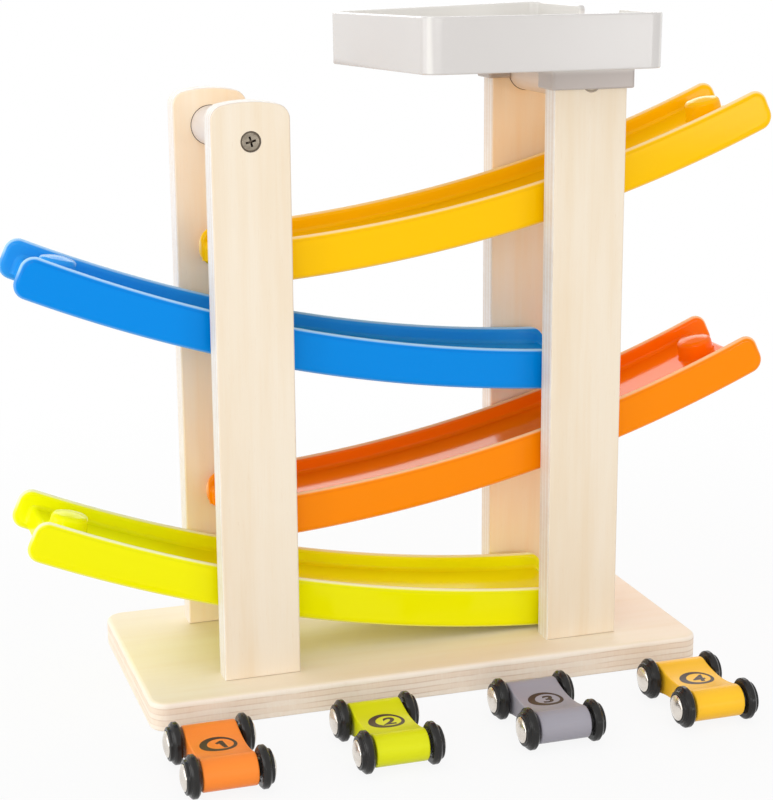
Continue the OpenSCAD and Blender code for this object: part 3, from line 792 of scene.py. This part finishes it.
def make_screws():
    """The four cross-head screws through the posts into the dowels."""
    r, shank = SCREW_HEAD_D / 2, SCREW_D / 2
    brim = r + SCREW_BRIM
    profile = [(0, -SCREW_L), (shank, -SCREW_L + SCREW_D), (shank, -r), (brim, -SCREW_CONE)]
    profile += [(brim, -SCREW_SEAT), (r - 0.35, -SCREW_SEAT), (r - 0.4, -0.25)]
    profile += [(r - 0.6, -0.1), (r * 0.5, 0.0), (0, 0.0)]
    one = mesh_object("screw", revolve(profile, 64))
    for angle in (SCREW_TURN, SCREW_TURN + 90):
        bar = []
        for half, across, z in CROSS_CUT:
            bar.append([(half, -across, z), (half, across, z), (-half, across, z), (-half, -across, z)])
        carve(one, put(loft(bar), turn(angle, "Z")))
    copies = []
    for x, z in ((-POST_X, LEFT_DOWEL_Z), (POST_X, RIGHT_DOWEL_Z)):
        for front in (-1, 1):
            copies.append(one.data.copy())
            copies[-1].transform(shift(x, front * POST_OUT, z) @ turn(front * -90, "X"))
    bpy.data.meshes.remove(one.data)
    dress(mesh_object("cross_screws", gather(copies)), DOWEL_SCREW, "tower", ["dowel_screws"], 30)


# Tracks

def bend(s, h, y):
    """A point of the straight track, s along it and h up, bent onto the curve."""
    a, r = s / TRACK_R, TRACK_R - h
    return (ARC_X + r * sin(a), y, TRACK_R - r * cos(a))


def wall_outline():
    """A side wall of the straight track as (s, h), rounder at its low end."""
    s0, s1 = LOW_A * TRACK_R, END_A * TRACK_R
    c, d, n = TRACK_CORNER, LOW_CORNER, 64
    run = [s0 + d + (s1 - s0 - c - d) * i / n for i in range(1, n)]
    pts = arc(s0 + d, d, d, 180, 270, 12) + [(s, 0) for s in run] + arc(s1 - c, c, c, 270, 360, 10)
    pts += arc(s1 - c, TRACK_H - c, c, 0, 90, 10) + [(s, TRACK_H) for s in reversed(run)]
    return pts + arc(s0 + d, TRACK_H - d, d, 90, 180, 12)


def deck_path():
    """The deck's top line as (s, h) with its outward direction, turned down at both ends."""
    s0, s1, e, top = LOW_A * TRACK_R + DECK_SETBACK, FLOOR_A * TRACK_R, DECK_EDGE, TRACK_DECK
    path = [(s0, h, -1.0, 0.0) for h in LOW_SKIRT]
    for s, angles in ((s0 + e, range(180, 89, -10)), (s1 - e, range(90, -1, -10))):
        if s > s0 + e:
            run = [s0 + e + (s - s0 - e) * k / DECK_STEPS for k in range(1, DECK_STEPS)]
            path += [(along, top, 0.0, 1.0) for along in run]
        for a in map(radians, angles):
            path.append((s + e * cos(a), top - e + e * sin(a), cos(a), sin(a)))
    return path + [(s1, h, 1.0, 0.0) for h in HIGH_SKIRT]


def make_deck():
    """A deck that turns down at both ends, with a fillet up each side wall."""
    side, root = TRACK_IN - FILLET, TRACK_IN + DECK_ROOT
    half = [(side - DECK_INSET, 0.0)] + arc(side, FILLET, FILLET, -90, -12, 7)
    half += [(root, half[-1][1]), (root, -TRACK_FLOOR)]
    section = half + [(-y, lift) for y, lift in reversed(half)]
    rings = []
    for s, h, out_s, out_h in deck_path():
        rings.append([bend(s + out_s * lift, h + out_h * lift, y) for y, lift in section])
    return loft(rings)


def make_knob():
    """A stop knob, square to the track's chord, whose foot follows the slope of the deck."""
    knob_a = FLOOR_A - asin(KNOB_SETBACK / TRACK_R)
    tilt = atan(arc_z(HIGH_X, TRACK_R) / (HIGH_X - LOW_X))
    h, r, e, dome = TRACK_H + KNOB_RISE, KNOB_D / 2, KNOB_EDGE, KNOB_DOME
    foot = TRACK_DECK / cos(knob_a - tilt) - KNOB_ROOT
    wide = r + KNOB_DRAFT / 2
    profile = [(0, foot)] + [(wide + out, foot + up) for out, up in KNOB_FLARE]
    profile += arc(r - e, h - dome - e, e, 4, 76, 8)
    profile += [((r - e) * k, h - dome * k * k) for k in (0.86, 0.7, 0.5, 0.25)] + [(0, h)]
    knob = revolve(profile, 72)
    for v in knob.verts:
        if v.co.z < (foot + KNOB_FOOT) * MM:
            v.co.z += v.co.x * tan(knob_a - tilt)
    root = bend(knob_a * TRACK_R, 0, 0)
    return put(knob, shift(*root) @ turn(-degrees(tilt), "Y"))


def make_tracks():
    """Four tracks of one shape, every other one turned round, with spacer collars at the posts."""
    outline, e = wall_outline(), TRACK_EDGE
    shape = mesh_object("track_shape", plate(outline, TRACK_IN, TRACK_OUT, e, e, bend, 9))
    carve(shape, plate(outline, -TRACK_OUT, -TRACK_IN, e, e, bend, 9), "UNION")
    carve(shape, make_deck(), "UNION")
    carve(shape, make_knob(), "UNION")
    r, e, root, tip = COLLAR_D / 2, COLLAR_EDGE, TRACK_OUT - TRACK_WALL / 2, POST_IN - COLLAR_GAP
    profile = [(0, root), (r, root), (r, tip - e), (r - e, tip), (0, tip)]
    for x in (-POST_X, POST_X):
        for front in (-1, 1):
            place = shift(x, 0, arc_z(x, TRACK_R - TRACK_H / 2)) @ turn(front * -90, "X")
            carve(shape, put(revolve(profile, 48), place), "UNION")
    for level, (name, *_) in enumerate(TRACKS):
        track = new_object(name + "_ramp", shape.data.copy())
        spin = turn(180 if level % 2 == 0 else 0, "Z")
        track.data.transform(shift(0, 0, track_z(level)) @ spin)
        dress(track, TRACK_PLASTICS[level], "tower", [name + "_track"])
    bpy.data.meshes.remove(shape.data)


# Tray

def tray_ring(inset, z):
    """The tray's outline at a height, drawn in by the inset."""
    corner = max(1.0, TRAY_CORNER - inset)
    pts = rounded_rect(TRAY_L - 2 * inset, TRAY_W - 2 * inset, corner, 12, TRAY_X)
    return [(x, y, z) for x, y in pts]


def tray_section():
    """The tray's wall as (inset, height), from the underside round the rim to the floor."""
    bottom, floor_top, top = TRAY_LOW, TRAY_FLOOR_Z + TRAY_FLOOR, TRAY_TOP
    w, d, e, fillet = TRAY_WALL, TRAY_DRAFT, TRAY_EDGE, TRAY_FILLET
    section = [(w + d + 1.2, TRAY_FLOOR_Z), (w + d + 0.3, TRAY_FLOOR_Z - 0.9)]
    section += arc(d + w - e, bottom + e, e, 0, -90, 4) + arc(d + e, bottom + e, e, -90, -180, 4)
    section += [(d * (1 - k / 6), bottom + e + (top - bottom - 2 * e) * k / 6) for k in range(1, 6)]
    section += arc(e, top - e, e, 180, 90, 4) + arc(w - e, top - e, e, 90, 0, 4)
    section += [(w + 0.25, (top + floor_top) / 2)]
    return section + arc(w + 0.5 + fillet, floor_top + fillet, fillet, 180, 270, 6)


def exit_cutter():
    """The gap in the tray's right wall, flared at the rim."""
    half, brow, floor_top = EXIT_W / 2, TRAY_DEPTH - EXIT_R, TRAY_FLOOR_Z + TRAY_FLOOR
    flare = [(half + EXIT_R + y, z) for y, z in arc(0, brow, EXIT_R, 180, 90, 8)]
    gap = [(half, 0.0)] + flare + [(half + EXIT_R, TRAY_DEPTH + 3)]
    gap = gap + [(-y, z) for y, z in reversed(gap)]
    ends = (TRAY_X1 - 8, TRAY_X1 + 3)
    return loft([[(x, EXIT_SHIFT + y, floor_top + z) for y, z in gap] for x in ends])


def droop(mesh):
    """Warps the tray as the photographed one is warped: its far left corner hangs lowest."""
    for v in mesh.vertices:
        x, y, z = v.co / MM
        left = max(0.0, (DROOP_REACH - x) / (DROOP_REACH - TRAY_X0)) ** DROOP_POWER
        high = min(1.0, max(0.0, (z - TRAY_LOW) / (TRAY_TOP - TRAY_LOW)))
        low_edge = DROOP_LOW * (y + TRAY_W / 2) / TRAY_W
        rim_edge = DROOP_RIM * max(0.0, (y - DROOP_LEVEL_Y) / (TRAY_W / 2 - DROOP_LEVEL_Y))
        v.co.z -= left * (low_edge + (rim_edge - low_edge) * high) * MM


def make_tray():
    """The parking tray with its exit gap and the two sockets for the right posts."""
    tray = mesh_object("tray_pan", loft([tray_ring(inset, z) for inset, z in tray_section()]))
    carve(tray, exit_cutter())
    for front in (-1, 1):
        carve(tray, socket_shell(front), "UNION")
        carve(tray, socket_space(front))
        carve(tray, dowel_slot(front))
    droop(tray.data)
    soft = tray.modifiers.new("soft cuts", "BEVEL")
    soft.width, soft.segments = TRAY_CUT_EDGE * MM, 3
    soft.limit_method, soft.angle_limit = "ANGLE", radians(50)
    soft.use_clamp_overlap = True
    dress(tray, TRAY_PLASTIC, "tray", ["parking_tray"])


def socket_shell(front):
    """The outside of a post socket under the tray."""
    grow = 2 * (SOCKET_CLEAR + SOCKET_WALL)
    outline = rounded_rect(POST_W + grow, POST_T + grow, 1.6, 6, POST_X, front * POST_Y)
    low = TRAY_FLOOR_Z - SOCKET_DEPTH
    return plate(outline, low, TRAY_FLOOR_Z + TRAY_FLOOR / 2, 0.7, 0.1, flat, 3)


def socket_cutter(outline):
    """A cutter up through a socket to the tray's floor."""
    return plate(outline, TRAY_FLOOR_Z - SOCKET_DEPTH - 2, TRAY_FLOOR_Z, 0.05, 0.05, flat, 1)


def socket_space(front):
    """The space for a post's top in its socket."""
    grow = 2 * SOCKET_CLEAR
    return socket_cutter(rounded_rect(POST_W + grow, POST_T + grow, 0.3, 3, POST_X, front * POST_Y))


def dowel_slot(front):
    """The slot in a socket's inner side that clears the dowel."""
    w, deep = DOWEL_D + 2 * SOCKET_CLEAR, POST_T / 2 + 6
    return socket_cutter(rounded_rect(w, deep, 0.2, 2, POST_X, front * (POST_Y - deep / 2)))


# Cars

WAIST_R = ((WHEELBASE / 2) ** 2 + (WAIST_T / 2) ** 2 - LOBE_R ** 2) / (2 * LOBE_R - WAIST_T)


def waist_height(y):
    """Height of the car's top above its axles near the waist."""
    return WAIST_T / 2 + WAIST_R - sqrt(WAIST_R ** 2 - y * y)


def car_outline():
    """The side of a car in (y, z): a lobe round each axle and a hollow waist between them."""
    c = WHEELBASE / 2
    lean = degrees(atan2(WAIST_R + WAIST_T / 2, c))
    back = arc(c, 0, LOBE_R, -(180 - lean), 180 - lean, 44)
    over = arc(0, WAIST_R + WAIST_T / 2, WAIST_R, -lean, -180 + lean, 30)[1:-1]
    front = [(-y, z) for y, z in reversed(back)]
    under = [(y, -z) for y, z in reversed(over)]
    return back + over + front + under


def wheel_profile():
    """A tyre as (radius, height) from the car's side out, with its step and cap seat."""
    r, s, b, i, t, w = WHEEL_D / 2, WHEEL_STEP_D / 2, 0.9, TREAD_INSET, TREAD_W, WHEEL_W
    pts = [(AXLE_D / 2, 0.1), (r * 0.42, 0.1), (r * 0.48, i + 0.5), (r * 0.62, i + 0.5), (r * 0.68, i + 0.05)]
    pts += [(r - b - 0.25, i), (r - b, i + 0.1), (r - 0.15, i + b - 0.1), (r, i + b + 0.15)]
    pts += [(r, t - b - 0.15), (r - 0.15, t - b + 0.1), (r - b, t - 0.1), (r - b - 0.25, t)]
    pts += [(s + 0.35, t), (s, t + 0.3), (s, w - 0.55), (s - 0.2, w - 0.2), (s - 0.55, w)]
    return pts + [(CAP_D / 2 + 0.5, w), (CAP_D / 2 + 0.3, w - 0.25), (AXLE_D / 2, w - 0.25)]


def cap_profile():
    """A domed hub cap as (radius, height)."""
    r, brim = CAP_D / 2, CAP_H / 4
    high = CAP_H - brim
    dome = (r * r + high * high) / (2 * high)
    pts = [(0, -0.2), (r - 0.1, -0.2), (r, 0.0), (r, brim * 0.7)]
    reach = asin((r - 0.15) / dome)
    for k in range(9):
        a = reach * (1 - k / 9)
        pts.append((dome * sin(a), CAP_H - dome + dome * cos(a)))
    return pts + [(0, CAP_H)]


def on_car(n, y=0.0):
    """The place of a car's axle line, y away from its middle."""
    return shift(ROW_SHIFT + (n - 2.5) * CAR_PITCH, ROW_Y + y, WHEEL_D / 2)


def print_mark(n, mark):
    """Lays a flat mark, drawn about the car's middle, on the hollow waist as thin ink."""
    for v in mark.verts:
        v.co.z += waist_height(v.co.y / MM) * MM
    return put(mark, on_car(n))


def ring_mark():
    """A plain ring that is thicker on one side."""
    outer = arc(0, 0, RING_R, 0, 360, 80)[:-1]
    inner = arc(RING_HOLE_X, RING_HOLE_Y, RING_HOLE_R, 0, 360, 80)[:-1]
    turns = ((INK_LOW, outer), (INK_HIGH, outer), (INK_HIGH, inner), (INK_LOW, inner), (INK_LOW, outer))
    rings = []
    for z, pts in turns:
        rings.append([(x, y * MARK_FLAT, z) for x, y in pts])
    bm = loft(rings, False)
    bmesh.ops.remove_doubles(bm, verts=bm.verts, dist=1e-7)
    return bm


def number_mark(n):
    """The car's race number as a thin solid."""
    if n == 1:
        return loft([[(x, y, z) for x, y in NUMBER_ONE] for z in (INK_LOW, INK_HIGH)])
    words = bpy.data.curves.new("number", "FONT")
    words.body, words.size, words.extrude = str(n), NUMBER_SIZE * MM, (INK_HIGH - INK_LOW) / 2 * MM
    words.align_x, words.align_y = "CENTER", "CENTER"
    words.shear, words.offset = NUMBER_SLANT, NUMBER_WEIGHT * MM
    holder = new_object("number", words)
    mesh = evaluated_mesh(holder)
    bpy.data.objects.remove(holder)
    bm = gather([mesh])
    bmesh.ops.remove_doubles(bm, verts=bm.verts, dist=1e-7)
    xs, ys = [v.co.x for v in bm.verts], [v.co.y for v in bm.verts]
    middle_x, middle_y = (min(xs) + max(xs)) / 2, (min(ys) + max(ys)) / 2
    origin = Vector((middle_x - NUMBER_X * MM, middle_y - NUMBER_Y * MM, -(INK_LOW + INK_HIGH) / 2 * MM))
    for v in bm.verts:
        v.co -= origin
        v.co.x *= NUMBER_WIDE
        v.co.y *= MARK_FLAT
    return bm


def make_cars():
    """Four cars, each with a printed ring and number and two wheelsets."""
    for n, paint in enumerate(CAR_PAINTS, 1):
        car = "car_%d" % n
        hull = plate(car_outline(), -CAR_W / 2, CAR_W / 2, CAR_EDGE, CAR_EDGE, sideways)
        body = mesh_object(car + "_shell", put(hull, on_car(n)))
        for s in (-1, 1):
            bore = drill(AXLE_D / 2 + AXLE_CLEAR, -CAR_W, CAR_W, 32)
            carve(body, put(bore, on_car(n, s * WHEELBASE / 2) @ turn(90, "Y")))
        dress(body, paint, car, [car + "_body"])
        for mark_name, mark in (("ring", ring_mark()), ("number", number_mark(n))):
            printed = mesh_object("%s_%s" % (car, mark_name), print_mark(n, mark))
            dress(printed, PRINT_INK, car, weighted=False)
        for axle, s in (("front", -1), ("rear", 1)):
            make_wheelset("%s_%s" % (car, axle), on_car(n, s * WHEELBASE / 2))


def make_wheelset(axle, place):
    """The two tyres of an axle and its pair of hub caps."""
    caps = []
    for side, angle in (("left", -90), ("right", 90)):
        spot = place @ turn(angle, "Y") @ shift(z=CAR_W / 2 + WHEEL_GAP)
        tyre = mesh_object("%s_%s_tyre" % (axle, side), put(revolve(wheel_profile(), closed=True), spot))
        dress(tyre, TYRE_BLACK, axle + "_wheelset", ["%s_%s_wheel" % (axle, side)], 30)
        cap = mesh_object("cap", put(revolve(cap_profile(), 64), spot @ shift(z=WHEEL_W)))
        caps.append(cap.data)
    pair = mesh_object(axle + "_caps", gather(caps))
    dress(pair, NICKEL, axle + "_wheelset", [axle + "_hub_caps"], 50)


# Studio

def background_rays(tree):
    """One for rays that show the white background: straight, mirrored or through glass."""
    path = add(tree, "ShaderNodeLightPath", {}).outputs
    mirrored = calc(tree, "MAXIMUM", path["Is Camera Ray"], path["Is Glossy Ray"])
    return calc(tree, "MAXIMUM", mirrored, path["Is Transmission Ray"])


def make_floor():
    """A white paper floor that keeps a soft shadow of the object."""
    sheet = bmesh.new()
    bmesh.ops.create_grid(sheet, x_segments=1, y_segments=1, size=FLOOR_HALF)
    floor = mesh_object("studio_floor", put(sheet, Matrix.Translation((0, 0, -FLOOR_DROP))))
    mat, tree, shader = new_material("studio_white")
    grey = (FLOOR_GREY, FLOOR_GREY, FLOOR_GREY, 1)
    feed(shader, {"Base Color": grey, "Roughness": 0.8, "Specular IOR Level": 0.1})
    white = add(tree, "ShaderNodeEmission", {"Color": (1, 1, 1, 1), "Strength": 1.0})
    spot = add(tree, "ShaderNodeNewGeometry", {}).outputs["Position"]
    far = add(tree, "ShaderNodeVectorMath", {0: spot}, operation="LENGTH").outputs["Value"]
    paper = calc(tree, "MULTIPLY_ADD", ramp(tree, far, PAPER_NEAR, PAPER_FAR), PAPER_SHADE, 1 - PAPER_SHADE)
    seen = product(tree, background_rays(tree), paper)
    mix = add(tree, "ShaderNodeMixShader", {0: seen, 1: shader.outputs[0], 2: white.outputs[0]})
    feed(tree.nodes["Material Output"], {"Surface": mix.outputs[0]})
    floor.data.materials.append(mat)


def make_world():
    """A white surround that shows at full strength and lights a little less."""
    world = bpy.data.worlds.new("studio")
    world.use_nodes = True
    bpy.context.scene.world = world
    tree = world.node_tree
    level = calc(tree, "MULTIPLY_ADD", background_rays(tree), 1 - SKY_FILL, SKY_FILL)
    feed(tree.nodes["Background"], {"Color": (1, 1, 1, 1), "Strength": level})


def make_camera():
    """The photograph's camera, as fitted to the base board and the posts."""
    camera = bpy.data.cameras.new("photo_camera")
    camera.lens, camera.sensor_width, camera.sensor_fit = CAMERA_LENS, CAMERA_SENSOR, "AUTO"
    camera.clip_start, camera.clip_end = 0.05, 30
    holder = new_object("photo_camera", camera)
    yaw, pitch, roll = CAMERA_TURN
    ahead = Vector((sin(yaw) * cos(pitch), cos(yaw) * cos(pitch), -sin(pitch)))
    side = Vector((cos(yaw), -sin(yaw), 0))
    up = side.cross(ahead)
    right = side * cos(roll) + up * sin(roll)
    over = up * cos(roll) - side * sin(roll)
    aim = Matrix((right, over, -ahead)).transposed().to_4x4()
    holder.matrix_world = Matrix.Translation(CAMERA_SPOT) @ aim
    bpy.context.scene.camera = holder


def lamp(name, spot, aim_z, wide, high, level):
    """A softbox that the camera doesn't see, aimed at the tower."""
    light = bpy.data.lights.new(name, "AREA")
    light.shape, light.size, light.size_y = "RECTANGLE", wide, high
    light.energy = level * pi * wide * high
    holder = new_object(name, light)
    holder.location = spot
    holder.rotation_euler = (Vector((0, 0, aim_z)) - Vector(spot)).to_track_quat("-Z", "Y").to_euler()
    holder.visible_camera = False


bpy.context.scene.view_settings.view_transform = "Standard"
make_floor()
make_world()
for name, values in SOFTBOXES.items():
    lamp(name, *values)
make_camera()
make_base()
make_posts()
make_dowels()
make_screws()
make_tracks()
make_tray()
make_cars()
# Axles and base screws keep their solids
for name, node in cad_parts.items():
    if name.endswith(("_axle", "_screws")):
        node.data.materials.clear()
        node.data.materials.append(ZINC)
